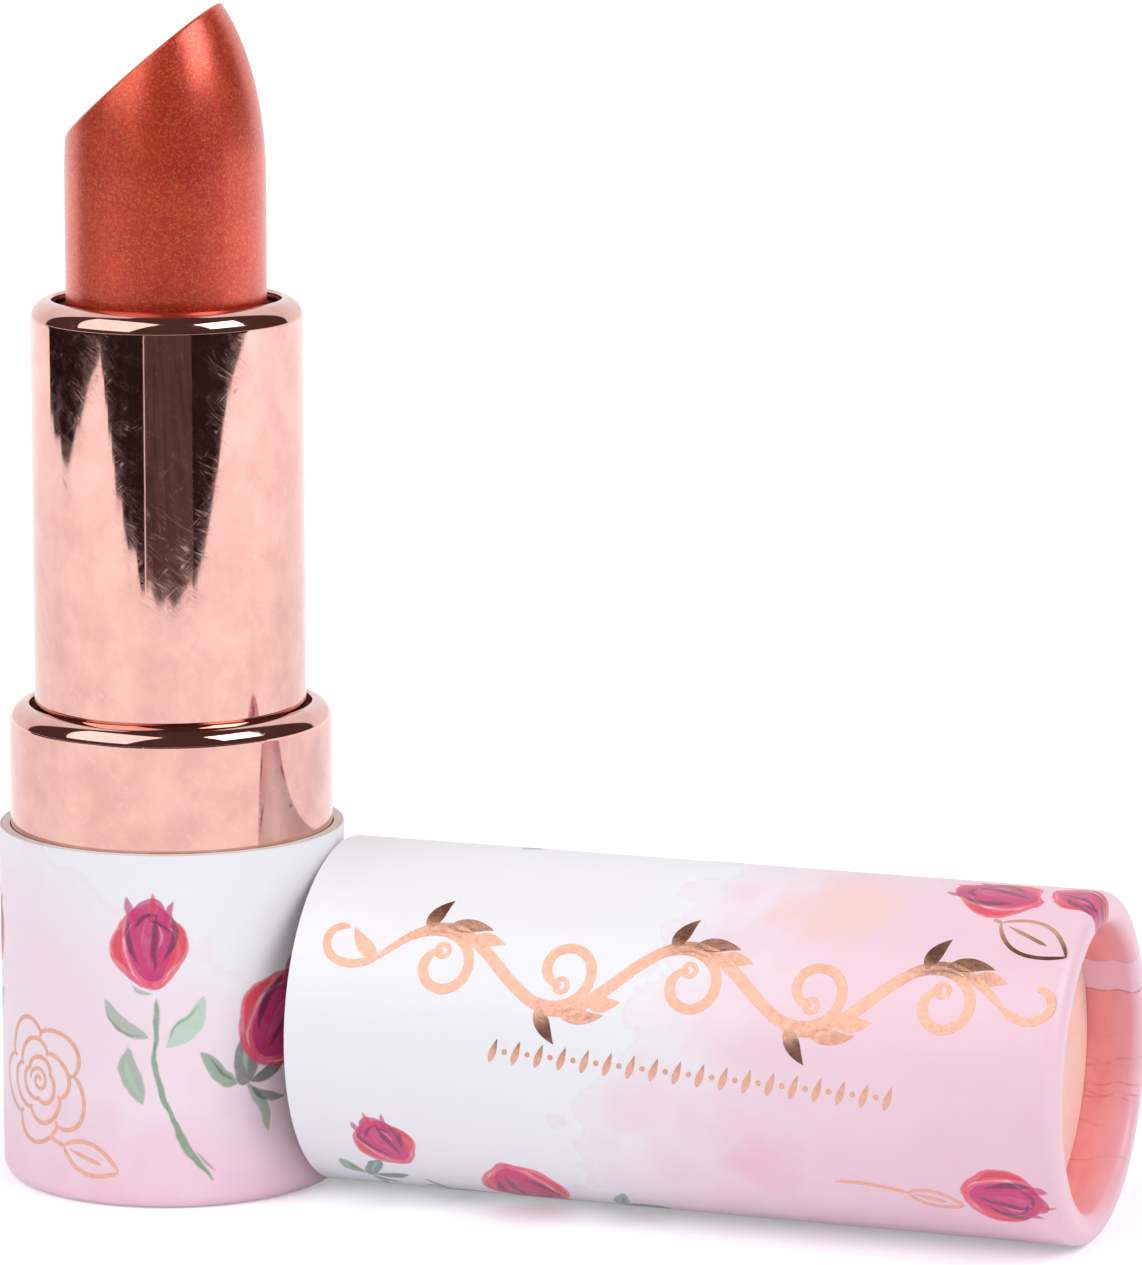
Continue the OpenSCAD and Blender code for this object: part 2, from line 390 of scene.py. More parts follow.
# Creases of each end: (angle in degrees, lean in radians per mm of depth, width in radians).
CAP_LAP = (145.0, 160.5)
CAP_CREASES = [(-172, 0.030, 0.016), (-166, -0.020, 0.013), (-161, 0.010, 0.012), (-157, 0.018, 0.014),
               (-154, -0.012, 0.012), (-141, -0.015, 0.015), (-130, 0.028, 0.014), (-112, 0.015, 0.015),
               (128, -0.012, 0.015), (110, 0.020, 0.016), (150, 0.010, 0.011), (-85, 0.02, 0.014),
               (-60, -0.015, 0.016), (-20, 0.01, 0.014), (25, -0.02, 0.015), (62, 0.012, 0.016)]
CASE_LAP = (70.0, 84.0)
CASE_CREASES = [(23 * k + 5 * math.sin(k), 0.02 * math.cos(2 * k), 0.014) for k in range(15)]


def make_paper(name, body, length, turn_in, place, lap, creases, segments):
    piece = new_piece(name, body)
    carve = tucked_carve(turn_in, lap, creases)
    return lathe(piece, paper_outline(length, turn_in), place, segments, carve)


cap_tuck = cap_high.x - recess_low.x
case_tuck = foot_high.z
cap_paper = make_paper("cap_paper", "cap", cap_length, cap_tuck, on_cap, CAP_LAP, CAP_CREASES, 960)
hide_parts("cap_wrap")
case_paper = make_paper("case_paper", "case", case_top, case_tuck, on_case, CASE_LAP, CASE_CREASES, 600)
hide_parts("base_wrap")
print("paper:", len(cap_paper.data.polygons), len(case_paper.data.polygons), "faces")

# %% [markdown]
# ## Foil lines
#
# The rose-gold drawing is stamped on the paper with a heated block, which leaves a thin layer of metal. Each
# line is a narrow ribbon with its own thickness, wrapped round the tube. The drawing is a plain garden
# ornament: a waving stem with tendrils and leaves. A tendril is a line whose bend grows steadily, just as
# a real one curls up, so every stroke needs only a start, a heading, a length and two bends.

# %% Lines on flat paper
FOIL_RISE = 0.012
FOIL_SINK = 0.03
STEP = 0.16


def tendril(start, heading, length, bend_first, bend_last):
    """Points along a line whose bend, in radians per mm, goes evenly from one value to another."""
    steps = max(8, round(length / STEP))
    x, y = start
    a = math.radians(heading)
    points = [(x, y)]
    for k in range(steps):
        bend = bend_first + (bend_last - bend_first) * (k + 0.5) / steps
        a += bend * length / steps
        x += math.cos(a) * length / steps
        y += math.sin(a) * length / steps
        points.append((x, y))
    return points


def leaf_lines(start, heading, length, width):
    """The two curved edges of a pointed leaf and its short midrib."""
    a = math.radians(heading)
    along = Vector((math.cos(a), math.sin(a)))
    across = Vector((-along.y, along.x))
    steps = max(10, round(length / STEP))
    edges = []
    for side in (1, -1):
        edge = []
        for k in range(steps + 1):
            t = k / steps
            out = side * width / 2 * math.sin(math.pi * t) ** 0.8 * (1.15 - 0.3 * t)
            edge.append(tuple(Vector(start) + along * length * t + across * out))
        edges.append(edge)
    rib = [tuple(Vector(start) + along * length * t) for t in (0.12, 0.3, 0.45, 0.6, 0.7)]
    return edges + [rib]


def even_line(t):
    """Width of a drawn line from its start, 0, to its end, 1: full, with rounded ends."""
    return 0.3 + 0.7 * min(1.0, 9 * t, 9 * (1 - t)) ** 0.5


def filled_leaf(t):
    """Width of a leaf that is filled with foil: pointed at both ends and fullest near its foot."""
    return 0.04 + 0.96 * math.sin(math.pi * t ** 0.75)


def filled_dot(t):
    """Width of a round dot along its own length."""
    return 0.05 + 0.95 * math.sqrt(max(0.0, 1 - (2 * t - 1) ** 2))


# %% Ribbons on the tube
def ribbon(form, points, width, place, shape=even_line):
    """Adds one foil line: four edges along the points, closed at both ends. shape gives its width."""
    count = len(points)
    previous = None
    for k, (x, y) in enumerate(points):
        before = points[max(k - 1, 0)]
        after = points[min(k + 1, count - 1)]
        way = Vector((after[0] - before[0], after[1] - before[1])).normalized()
        half = width / 2 * shape(k / (count - 1))
        left = (x - way.y * half, y + way.x * half)
        right = (x + way.y * half, y - way.x * half)
        section = [
            form.verts.new(place(left, FOIL_RISE)),
            form.verts.new(place(right, FOIL_RISE)),
            form.verts.new(place(right, -FOIL_SINK)),
            form.verts.new(place(left, -FOIL_SINK)),
        ]
        if previous is None:
            form.faces.new(section)
        else:
            for i in range(4):
                j = (i + 1) % 4
                form.faces.new((previous[i], previous[j], section[j], section[i]))
        previous = section
    form.faces.new(previous)


def on_cap_print(spot, rise):
    """From the flat print to the cap: x along it from its mouth, y up round it from the front."""
    r = case_r - FOIL_ROOM + rise
    return on_cap(r, spot[1] / case_r, cap_length - spot[0]) * MM


def on_case_print(spot, rise):
    """From the flat print to the case: x round it from the front, y its height."""
    r = case_r - FOIL_ROOM + rise
    return on_case(r, FRONT + spot[0] / case_r, spot[1]) * MM


def stamp_foil(name, body, lines, place):
    """Makes one piece from lines. Each has its points, its width and, if it isn't a plain line, its shape."""
    piece = new_piece(name, body)
    form = bmesh.new()
    for points, width, *shape in lines:
        ribbon(form, points, width, place, *shape)
    return fill_piece(piece, form)


# %% The ornament on the cap
STEM_FIRST = 5.4
HALF_WAVE = 7.7
HALF_WAVES = 5
STEM_MIDDLE = 5.7
STEM_RISE = 2.3


def stem_spot(along):
    """A place on the waving stem, along half waves from its start, and its heading there."""
    x = STEM_FIRST + HALF_WAVE * along
    y = STEM_MIDDLE + STEM_RISE * math.sin(math.pi * along)
    heading = math.degrees(math.atan2(STEM_RISE * math.pi * math.cos(math.pi * along), HALF_WAVE))
    return (x, y), heading


def short_stroke(start, heading, length, bend=0.0):
    return tendril(start, heading, length, bend, bend)


def flourish():
    """A running scroll: the stem waves along, and a curl with a berry fills each of its hollows."""
    stem = [stem_spot(HALF_WAVES * k / 240)[0] for k in range(241)]
    lines = [(stem, 0.74)]
    for k in range(HALF_WAVES):
        side = 1 if k % 2 == 0 else -1
        spot, heading = stem_spot(k + 0.12)
        curl = tendril(spot, heading + side * 4, 12.4, -side * 0.17, -side * 0.95)
        lines.append((curl, 0.62))
        end = curl[-1]
        lines.append(([(end[0] - 0.55 + 0.11 * i, end[1]) for i in range(11)], 1.1, filled_dot))
        for along, turn, length in ((0.36, 58, 2.5), (0.52, 24, 2.9), (0.74, 42, 2.1)):
            foot, heading = stem_spot(k + along)
            lines.append((short_stroke(foot, heading + side * turn, length, -side * 0.22), 0.95, filled_leaf))
    first, _ = stem_spot(0)
    last, heading = stem_spot(HALF_WAVES)
    lines.append((tendril(first, 205, 6.0, -0.05, -1.25), 0.52))
    lines.append((tendril(last, heading, 5.2, 0.2, 1.35), 0.52))
    lines.append((short_stroke(first, 150, 2.6, -0.2), 0.95, filled_leaf))
    return lines


def bead_line(first, last, height, drop):
    """A thin ornament under the stem: upright grains and small dots by turns."""
    lines = []
    count = 35
    for k in range(count):
        t = (k + 0.5) / count
        x = first + (last - first) * t
        y = height - drop * t
        if k % 2 == 0:
            lines.append((short_stroke((x - 0.25, y - 0.72), 71, 1.52), 0.44, filled_leaf))
        else:
            lines.append(([(x - 0.17 + 0.034 * i, y) for i in range(11)], 0.34, filled_dot))
    return lines


cap_flourish = stamp_foil("cap_foil_flourish", "cap", flourish(), on_cap_print)
cap_beads = stamp_foil("cap_foil_line", "cap", bead_line(12.9, 37.9, 0.75, 0.9), on_cap_print)
print("foil ornament:", len(cap_flourish.data.polygons), len(cap_beads.data.polygons), "faces")

# %% Foil leaves and the foil rose
def foil_leaf(start, heading, length, width, stem_length):
    tail = tendril(start, heading + 180, stem_length, 0.02, 0.16)
    return [(edge, 0.26) for edge in leaf_lines(start, heading, length, width)] + [(tail, 0.26)]


def foil_rose(centre, size):
    """A garden rose in outline: a spiral heart in three rings of scalloped petals."""
    cx, cy = centre
    heart = []
    for k in range(60):
        a = 0.16 * k
        r = size * (0.03 + 0.0032 * k)
        heart.append((cx + r * math.cos(a), cy + r * math.sin(a)))
    lines = [(heart, 0.24)]
    for count, reach, turn in ((3, 0.38, 0.4), (4, 0.66, 1.1), (5, 1.0, 0.2)):
        for k in range(count):
            petal = []
            for i in range(33):
                t = i / 32
                b = turn + 2 * math.pi * (k + 1.06 * t) / count
                bulge = 0.70 + 0.30 * math.sin(math.pi * t) ** 0.6
                r = size * reach * (bulge + 0.04 * math.sin(2 * math.pi * t))
                petal.append((cx + r * math.cos(b), cy + r * math.sin(b)))
            lines.append((petal, 0.27))
    return lines


cap_leaf_lines = foil_leaf((42.6, 11.7), -28, 5.0, 2.6, 0.6)
cap_leaf_lines += foil_leaf((38.2, -6.6), -14, 3.4, 1.3, 4.4)
cap_leaf_lines += foil_leaf((16.0, 22.0), 35, 4.6, 2.0, 3.0)
cap_leaf_lines += foil_rose((30.0, 31.0), 3.4)
cap_leaf_lines += foil_leaf((9.0, -24.0), 120, 4.4, 2.0, 3.0)
cap_leaves = stamp_foil("cap_foil_leaves", "cap", cap_leaf_lines, on_cap_print)

case_lines = foil_rose((-9.4, 7.2), 3.9)
case_lines += foil_leaf((-7.3, 3.5), -18, 4.0, 1.9, 1.2)
case_lines += foil_rose((19.5, 9.5), 3.4)
case_lines += foil_leaf((15.0, 6.0), 200, 4.0, 1.8, 1.0)
case_lines += foil_leaf((-27.0, 11.0), 60, 4.6, 2.0, 3.4)
case_foil = stamp_foil("case_foil_rose", "case", case_lines, on_case_print)
print("foil flowers:", len(cap_leaves.data.polygons), len(case_foil.data.polygons), "faces")

# %% [markdown]
# ## Small tools for materials
#
# A material is a little network. These helpers add a node, join sockets and build a shared group, so that
# each finish below reads as the list of effects that it is made of.

# %% Node helpers
def linear(red, green, blue):
    """A colour as a person picks it, 0 to 255, turned into the light values that the renderer uses."""
    def one(value):
        value /= 255
        return value / 12.92 if value <= 0.04045 else ((value + 0.055) / 1.055) ** 2.4
    return (one(red), one(green), one(blue), 1.0)


class Net:
    """A node tree with short calls for the nodes used here."""

    def __init__(self, tree):
        self.tree = tree

    def put(self, socket, value):
        if value is None:
            return
        if isinstance(value, bpy.types.NodeSocket):
            self.tree.links.new(value, socket)
        else:
            socket.default_value = value

    def node(self, kind, inputs=(), **settings):
        made = self.tree.nodes.new(kind)
        for name, value in settings.items():
            setattr(made, name, value)
        for name, value in dict(inputs).items():
            self.put(made.inputs[name], value)
        return made

    def math(self, operation, a, b=None, c=None, clamp=False):
        made = self.node("ShaderNodeMath", operation=operation, use_clamp=clamp)
        for i, value in enumerate((a, b, c)):
            self.put(made.inputs[i], value)
        return made.outputs[0]

    def vector(self, operation, a, b=None, scale=None):
        made = self.node("ShaderNodeVectorMath", operation=operation)
        self.put(made.inputs[0], a)
        self.put(made.inputs[1], b)
        if scale is not None:
            self.put(made.inputs["Scale"], scale)
        return made.outputs["Value" if operation in ("LENGTH", "DOT_PRODUCT", "DISTANCE") else "Vector"]

    def mix(self, factor, a, b):
        made = self.node("ShaderNodeMix", data_type="RGBA")
        self.put(made.inputs["Factor"], factor)
        self.put(made.inputs[6], a)
        self.put(made.inputs[7], b)
        return made.outputs[2]

    def remap(self, value, low, high, to_low=0.0, to_high=1.0, smooth=False):
        made = self.node("ShaderNodeMapRange", interpolation_type="SMOOTHSTEP" if smooth else "LINEAR")
        for i, v in enumerate((value, low, high, to_low, to_high)):
            self.put(made.inputs[i], v)
        return made.outputs[0]

    def noise(self, position, scale, detail=3.0, roughness=0.5, output="Fac"):
        made = self.node("ShaderNodeTexNoise", {"Vector": position, "Scale": scale, "Detail": detail,
                                                "Roughness": roughness})
        return made.outputs[output]

    def parts(self, vector):
        made = self.node("ShaderNodeSeparateXYZ", {"Vector": vector})
        return made.outputs["X"], made.outputs["Y"], made.outputs["Z"]

    def join(self, x=0.0, y=0.0, z=0.0):
        return self.node("ShaderNodeCombineXYZ", {"X": x, "Y": y, "Z": z}).outputs["Vector"]

    def group(self, made, **inputs):
        block = self.node("ShaderNodeGroup", node_tree=made)
        for name, value in inputs.items():
            self.put(block.inputs[name.replace("_", " ")], value)
        return block.outputs


def new_group(name, inputs, outputs):
    """An empty node group with named sockets. Each input is name: (kind, first value)."""
    tree = bpy.data.node_groups.new(name, "ShaderNodeTree")
    for label, (kind, value) in inputs.items():
        socket = tree.interface.new_socket(label, in_out="INPUT", socket_type="NodeSocket" + kind)
        if value is not None:
            socket.default_value = value
    for label, kind in outputs.items():
        tree.interface.new_socket(label, in_out="OUTPUT", socket_type="NodeSocket" + kind)
    net = Net(tree)
    start = tree.nodes.new("NodeGroupInput")
    end = tree.nodes.new("NodeGroupOutput")
    return net, start.outputs, end.inputs


def new_material(name, **constants):
    """A material with a Principled shader. Values that are the same all over go straight on its sockets."""
    material = bpy.data.materials.new(name)
    material.use_nodes = True
    net = Net(material.node_tree)
    shader = material.node_tree.nodes["Principled BSDF"]
    for label, value in constants.items():
        shader.inputs[label.replace("_", " ")].default_value = value
    return material, net, shader


def millimetres(net):
    """The spot on the piece, in millimetres of the shared frame. It stays with the piece as it moves."""
    spot = net.node("ShaderNodeTexCoord").outputs["Object"]
    return net.vector("SCALE", spot, scale=1 / MM)


def relief(net, shader, height, strength, distance_mm):
    """A Bump node from a height value, joined to the shader's normal."""
    bump = net.node("ShaderNodeBump", {"Height": height, "Strength": strength, "Distance": distance_mm * MM})
    net.put(shader.inputs["Normal"], bump.outputs["Normal"])


def dress(piece, material):
    """Gives a piece, or a CAD node's object, this one material."""
    piece.data.materials.clear()
    piece.data.materials.append(material)


# %% [markdown]
# ## Shared effects
#
# Handling leaves the same marks on every polished part, and the same fibres run through paper and board.
# Each such effect is a node group, built once, with its strength left to the material that uses it.

# %% Fine scratches
def build_scratches():
    """Hair-thin straight marks in a few directions, as wiping leaves them on polished metal.
    Position lies flat along the surface, with X and Y as its two ways."""
    net, given, result = new_group(
        "fine_scratches",
        {"Position": ("Vector", None), "Scale": ("Float", 1.0), "Amount": ("Float", 0.5)},
        {"Mask": "Float", "Smear": "Float"},
    )
    base = net.vector("SCALE", given["Position"], scale=given["Scale"])
    total = None
    for turn, stretch, seed in ((35, 0.035, 3.0), (48, 0.045, 17.0), (-38, 0.04, 29.0), (20, 0.03, 41.0)):
        turned = net.node("ShaderNodeMapping", {"Vector": base, "Location": (seed, seed * 0.7, 0.0),
                                                "Rotation": (0.0, 0.0, math.radians(turn))})
        drawn_out = net.vector("MULTIPLY", turned.outputs[0], (stretch, 1.0, 1.0))
        lines = net.noise(drawn_out, 3.4, 0.0, 0.5)
        thin = net.remap(net.math("ABSOLUTE", net.math("SUBTRACT", lines, 0.5)), 0.0, 0.018, 1.0, 0.0)
        sparse = net.remap(net.noise(turned.outputs[0], 0.55, 2.0), 0.38, 0.62)
        mark = net.math("MULTIPLY", thin, sparse)
        total = mark if total is None else net.math("MAXIMUM", total, mark)
    net.put(result["Mask"], net.math("MULTIPLY", total, given["Amount"]))
    net.put(result["Smear"], net.noise(base, 0.22, 3.0, 0.6))
    return net.tree


scratches = build_scratches()

# %% Paper fibres
def build_fibres():
    """Soft felted fibres: long thin noise in two directions over a fine grain."""
    net, given, result = new_group(
        "paper_fibres",
        {"Position": ("Vector", None), "Scale": ("Float", 1.0)},
        {"Height": "Float", "Mottle": "Float"},
    )
    base = net.vector("SCALE", given["Position"], scale=given["Scale"])
    grain = net.noise(base, 6.0, 4.0, 0.65)
    strands = []
    for stretch, turn in (((0.5, 5.0, 3.0), (0.3, 0.2, 0.5)), ((4.0, 0.5, 4.0), (0.1, 0.6, -0.4))):
        drawn_out = net.node("ShaderNodeMapping", {"Vector": base, "Scale": stretch, "Rotation": turn})
        strands.append(net.noise(drawn_out.outputs[0], 2.0, 3.0))
    fibre = net.math("ADD", *strands)
    net.put(result["Height"], net.math("MULTIPLY_ADD", fibre, 0.35, net.math("MULTIPLY", grain, 0.3)))
    net.put(result["Mottle"], net.noise(base, 0.5, 4.0, 0.6))
    return net.tree


fibres = build_fibres()

# %% A brush mark
def build_brush_mark():
    """One stroke of a loaded brush, from 0 to 1 along X, with its width in millimetres across Y."""
    net, given, result = new_group(
        "brush_mark",
        {"Position": ("Vector", None), "Width": ("Float", 1.0), "Bend": ("Float", 0.0),
         "Fullness": ("Float", 0.6), "Softness": ("Float", 0.12)},
        {"Mask": "Float"},
    )
    along, across, _ = net.parts(given["Position"])
    rest = net.math("SUBTRACT", 1.0, along)
    hump = net.math("MAXIMUM", net.math("MULTIPLY", net.math("MULTIPLY", along, rest), 4.0), 0.0)
    swell = net.math("POWER", hump, given["Fullness"])
    half = net.math("MULTIPLY", net.math("MULTIPLY", given["Width"], 0.5), swell)
    bent = net.math("SUBTRACT", across, net.math("MULTIPLY", given["Bend"], hump))
    inside = net.math("SUBTRACT", half, net.math("ABSOLUTE", bent))
    net.put(result["Mask"], net.math("DIVIDE", inside, given["Softness"], clamp=True))
    return net.tree


brush_mark = build_brush_mark()
print("shared effects:", ", ".join(g.name for g in bpy.data.node_groups))

# %% [markdown]
# ## Rose-gold metal
#
# Polished and lacquered metal is almost a mirror, so its look is mostly what stands round it. The finish
# adds what a mirror lacks: a slightly uneven roughness and wiping marks.

# %% Rose gold
def rose_gold_material():
    material, net, shader = new_material("rose_gold", Metallic=1.0)
    shader.inputs["Coat Weight"].default_value = 0.25
    shader.inputs["Coat Roughness"].default_value = 0.03
    position = millimetres(net)
    x, y, z = net.parts(position)
    around = net.math("MULTIPLY", net.math("ARCTAN2", y, x), case_r)
    flat = net.join(around, z, 0.0)
    marks = net.group(scratches, Position=flat, Scale=1.5, Amount=1.0)
    warm = net.mix(net.remap(marks["Smear"], 0.35, 0.65), linear(218, 165, 155), linear(231, 181, 169))
    scuffed = net.math("MULTIPLY", marks["Mask"], 0.3)
    net.put(shader.inputs["Base Color"], net.mix(scuffed, warm, linear(244, 212, 204)))
    rough = net.remap(marks["Smear"], 0.3, 0.7, 0.02, 0.04)
    net.put(shader.inputs["Roughness"], net.math("MULTIPLY_ADD", marks["Mask"], 0.13, rough))
    waves = net.math("MULTIPLY", net.noise(position, 0.35, 1.0), 0.6)
    dents = net.math("MULTIPLY_ADD", net.noise(flat, 3.2, 3.0, 0.6), 0.045, waves)
    height = net.math("MULTIPLY_ADD", marks["Mask"], -0.05, dents)
    relief(net, shader, height, 0.2, 0.01)
    return material


rose_gold = rose_gold_material()
dress(shell_tube, rose_gold)
dress(collar_band, rose_gold)

# %% Foil
def foil_material():
    material, net, shader = new_material("stamped_foil", Metallic=1.0)
    position = millimetres(net)
    crinkle = net.noise(position, 2.4, 4.0, 0.6)
    net.put(shader.inputs["Base Color"], net.mix(crinkle, linear(228, 180, 160), linear(206, 152, 130)))
    net.put(shader.inputs["Roughness"], net.remap(crinkle, 0.3, 0.7, 0.18, 0.28))
    relief(net, shader, crinkle, 0.3, 0.03)
    return material


foil = foil_material()
for stamped in (cap_flourish, cap_beads, cap_leaves, case_foil):
    dress(stamped, foil)

# %% [markdown]
# ## The lipstick itself
#
# The wax is full of mica flakes coated with copper. They glitter in tiny points, give a silky sheen and
# make the colour drift from rust to copper. A skin of oil smooths it in places.

# %% Copper pearl wax
def wax_material():
    material, net, shader = new_material("copper_pearl_wax", Metallic=0.6)
    shader.inputs["Coat Weight"].default_value = 0.65
    shader.inputs["Coat Roughness"].default_value = 0.33
    shader.inputs["Coat IOR"].default_value = 1.8
    shader.inputs["Subsurface Weight"].default_value = 0.04
    shader.inputs["Subsurface Radius"].default_value = (0.0012, 0.0004, 0.0002)
    position = millimetres(net)
    drift = net.noise(position, 0.16, 4.0, 0.6)
    flakes = net.node("ShaderNodeTexVoronoi", {"Vector": position, "Scale": 10.0})
    first, second, third = net.parts(flakes.outputs["Color"])
    tone = net.mix(net.remap(drift, 0.35, 0.65), linear(204, 28, 8), linear(230, 62, 20))
    # Lighter flake cells: the copper mica's own tone, and painted glints that stand in for the flakes'
    # glitter.
    tone = net.mix(net.math("MULTIPLY", net.remap(first, 0.5, 1.0), 0.5), tone, linear(250, 138, 62))
    tone = net.mix(net.math("MULTIPLY", net.remap(second, 0.6, 1.0), 0.3), tone, linear(112, 22, 16))
    net.put(shader.inputs["Base Color"], tone)
    net.put(shader.inputs["Roughness"], net.remap(third, 0.0, 1.0, 0.26, 0.38))
    fine = net.noise(position, 6.0, 3.0, 0.6)
    height = net.math("MULTIPLY_ADD", first, 0.5, net.math("MULTIPLY", fine, 0.6))
    relief(net, shader, height, 0.35, 0.03)
    return material


dress(bullet, wax_material())
print("metal, foil and wax are dressed")

# %% [markdown]
# ## Flowers for the print
#
# The print looks painted in watercolour. Each flower is a short list of brush marks, as a painter would
# lay them: where the brush lands, which way it goes, how long and how wide the mark is, how it bends, its
# colour and how thickly it covers. All of them run through one noise field first, so no edge is mechanical.

# %% Colours of the paint
CRIMSON = linear(232, 30, 66)
ROSE = linear(238, 88, 130)
MAGENTA = linear(200, 6, 112)
PLUM = linear(92, 4, 66)
BLUSH = linear(250, 196, 208)
SAGE = linear(90, 150, 108)
MINT = linear(164, 214, 182)
PINE = linear(30, 74, 58)

# Each mark: start (x, y), heading in degrees, length, width, bend, colour, cover.
ROSEBUD = [
    ((-0.1, -2.75), 97, 4.9, 2.3, 0.95, CRIMSON, 0.85),
    ((0.1, -2.75), 83, 4.9, 2.3, -0.95, CRIMSON, 0.85),
    ((0.0, -2.85), 90, 5.2, 3.6, 0.0, ROSE, 0.75),
    ((0.15, -2.3), 91, 5.0, 3.1, 0.0, MAGENTA, 0.9),
    ((-0.35, -2.5), 99, 3.9, 0.42, 0.95, BLUSH, 0.8),
    ((0.5, -2.5), 80, 3.7, 0.38, -1.0, BLUSH, 0.7),
    ((-1.0, -2.0), 104, 3.2, 0.75, 0.55, CRIMSON, 0.85),
    ((1.1, -1.9), 78, 3.2, 0.8, -0.5, CRIMSON, 0.85),
    ((-0.5, -1.5), 102, 3.4, 0.55, 0.45, PLUM, 0.85),
    ((0.3, -1.9), 88, 3.8, 0.5, -0.15, PLUM, 0.8),
    ((0.9, -1.2), 80, 3.1, 0.55, -0.4, PLUM, 0.85),
    ((-1.0, 0.7), 30, 1.9, 0.42, 0.35, PLUM, 0.85),
    ((1.4, 0.5), 152, 1.6, 0.36, -0.3, PLUM, 0.85),
    ((-0.2, -0.6), 84, 2.0, 0.26, 0.2, ROSE, 0.75),
    ((0.75, -0.4), 96, 1.6, 0.24, -0.2, BLUSH, 0.55),
    ((-0.8, 1.3), 108, 1.5, 0.6, 0.1, MAGENTA, 0.85),
    ((0.15, 1.5), 88, 1.6, 0.5, 0.0, CRIMSON, 0.85),
    ((0.9, 1.1), 66, 1.6, 0.55, -0.1, MAGENTA, 0.85),
]
STALK = [
    ((0.35, -3.3), -91, 3.8, 0.50, 0.12, SAGE, 0.85),
    ((0.30, -5.9), -80, 5.0, 0.52, -0.25, SAGE, 0.85),
    ((0.8, -9.2), -60, 6.6, 0.56, -0.5, SAGE, 0.9),
    ((2.6, -12.6), -50, 2.2, 0.26, -0.1, PINE, 0.55),
    ((-0.1, -5.9), 140, 3.6, 1.05, 0.35, SAGE, 0.6),
    ((-0.2, -5.7), 143, 3.4, 0.30, 0.75, PINE, 0.55),
    ((-0.4, -9.9), 106, 3.7, 1.35, 0.25, SAGE, 0.65),
    ((-0.6, -9.4), 108, 2.6, 0.45, 0.25, MINT, 0.8),
    ((0.9, -6.6), 50, 4.0, 1.35, -0.2, MINT, 0.75),
    ((1.0, -6.5), 48, 3.6, 0.28, 0.4, SAGE, 0.7),
    ((0.2, -3.1), 160, 1.3, 0.4, 0.2, SAGE, 0.6),
]
LEAF_SPRAY = [
    ((0.0, 0.0), 80, 3.6, 1.5, 0.2, PINE, 0.8),
    ((0.2, 0.6), 82, 2.6, 0.4, 0.25, MINT, 0.7),
    ((0.3, 0.2), 35, 3.4, 1.1, -0.2, PINE, 0.85),
    ((-0.3, 0.2), 140, 3.3, 1.2, 0.2, SAGE, 0.8),
    ((-0.5, 0.5), 142, 2.3, 0.35, 0.1, PINE, 0.6),
    ((0.1, 0.2), -65, 3.6, 0.8, 0.3, SAGE, 0.7),
    ((0.4, -0.1), -20, 2.6, 0.7, -0.3, PINE, 0.75),
]


# %% Painting with marks
def seen_from(net, position, start, heading, size):
    """The flat position as a mark sees it, from its own start and along its own heading in degrees."""
    placed = net.node("ShaderNodeMapping", {
        "Vector": position, "Location": (start[0], start[1], 0.0),
        "Rotation": (0.0, 0.0, math.radians(heading)), "Scale": size}, vector_type="TEXTURE")
    return placed.outputs[0]


def paint(net, colour, marks, position, strength):
    """Lays a list of brush marks over a colour, in order. strength thins all of them by a mask."""
    for start, heading, length, width, bend, pigment, cover in marks:
        placed = seen_from(net, position, start, heading, (length, 1.0, 1.0))
        stroke = net.group(brush_mark, Position=placed, Width=width, Bend=bend,
                           Fullness=0.5 if width > 1.4 else 0.7)
        laid = net.math("MULTIPLY", stroke["Mask"], net.math("MULTIPLY", strength, cover))
        colour = net.mix(laid, colour, pigment)
    return colour


def stamp_places(net, position, places, middle, reach):
    """The position seen from the stamp that covers it: each place is (x, y), turn in degrees and size.
    A stamp covers an oval about its own middle."""
    local = net.join(90.0, 90.0, 0.0)
    for spot, turn, size in places:
        seen = seen_from(net, position, spot, turn, (size, size, size))
        away = net.vector("SUBTRACT", seen, (middle[0], middle[1], 0.0))
        share = net.vector("MULTIPLY", away, (1 / reach[0], 1 / reach[1], 0.0))
        near = net.math("LESS_THAN", net.vector("LENGTH", share), 1.0)
        made = net.node("ShaderNodeMix", {"Factor": near}, data_type="VECTOR")
        net.put(made.inputs[4], local)
        net.put(made.inputs[5], seen)
        local = made.outputs[1]
    return local


# %% [markdown]
# ## The printed paper's finish
#
# The sheet is white art paper with a satin film. A pale pink wash runs over part of it, with the clouded,
# darker edge that a drying wash leaves. The sheet is printed in a fine screen, which shows as a faint
# diagonal weave close up. The turned-in part is salmon pink that deepens inwards, with painted shade
# along the edges of its overlapping flap and in its creases.

# %% A drying wash
def build_wash():
    """Cover of a watercolour wash: 1 well inside its edge, clouded near it, darker along the edge itself."""
    net, given, result = new_group(
        "drying_wash",
        {"Position": ("Vector", None), "Inside": ("Float", 0.0), "Ragged": ("Float", 2.0),
         "Fade": ("Float", 3.0)},
        {"Cover": "Float", "Edge": "Float"},
    )
    clouds = net.node("ShaderNodeTexVoronoi", {"Vector": given["Position"], "Scale": 0.34, "Smoothness": 0.6},
                      feature="SMOOTH_F1")
    lobes = net.math("SUBTRACT", 0.62, clouds.outputs["Distance"])
    fine = net.math("SUBTRACT", net.noise(given["Position"], 0.55, 3.0, 0.55), 0.5)
    push = net.math("MULTIPLY", net.math("MULTIPLY_ADD", fine, 0.9, lobes), given["Ragged"])
    depth = net.math("ADD", given["Inside"], push)
    cover = net.math("DIVIDE", depth, given["Fade"], clamp=True)
    net.put(result["Cover"], net.math("POWER", cover, 0.7))
    from_rim = net.math("ABSOLUTE", net.math("MULTIPLY_ADD", depth, 2.2, -1.0))
    net.put(result["Edge"], net.math("SUBTRACT", 1.0, from_rim, clamp=True))
    return net.tree


drying_wash = build_wash()

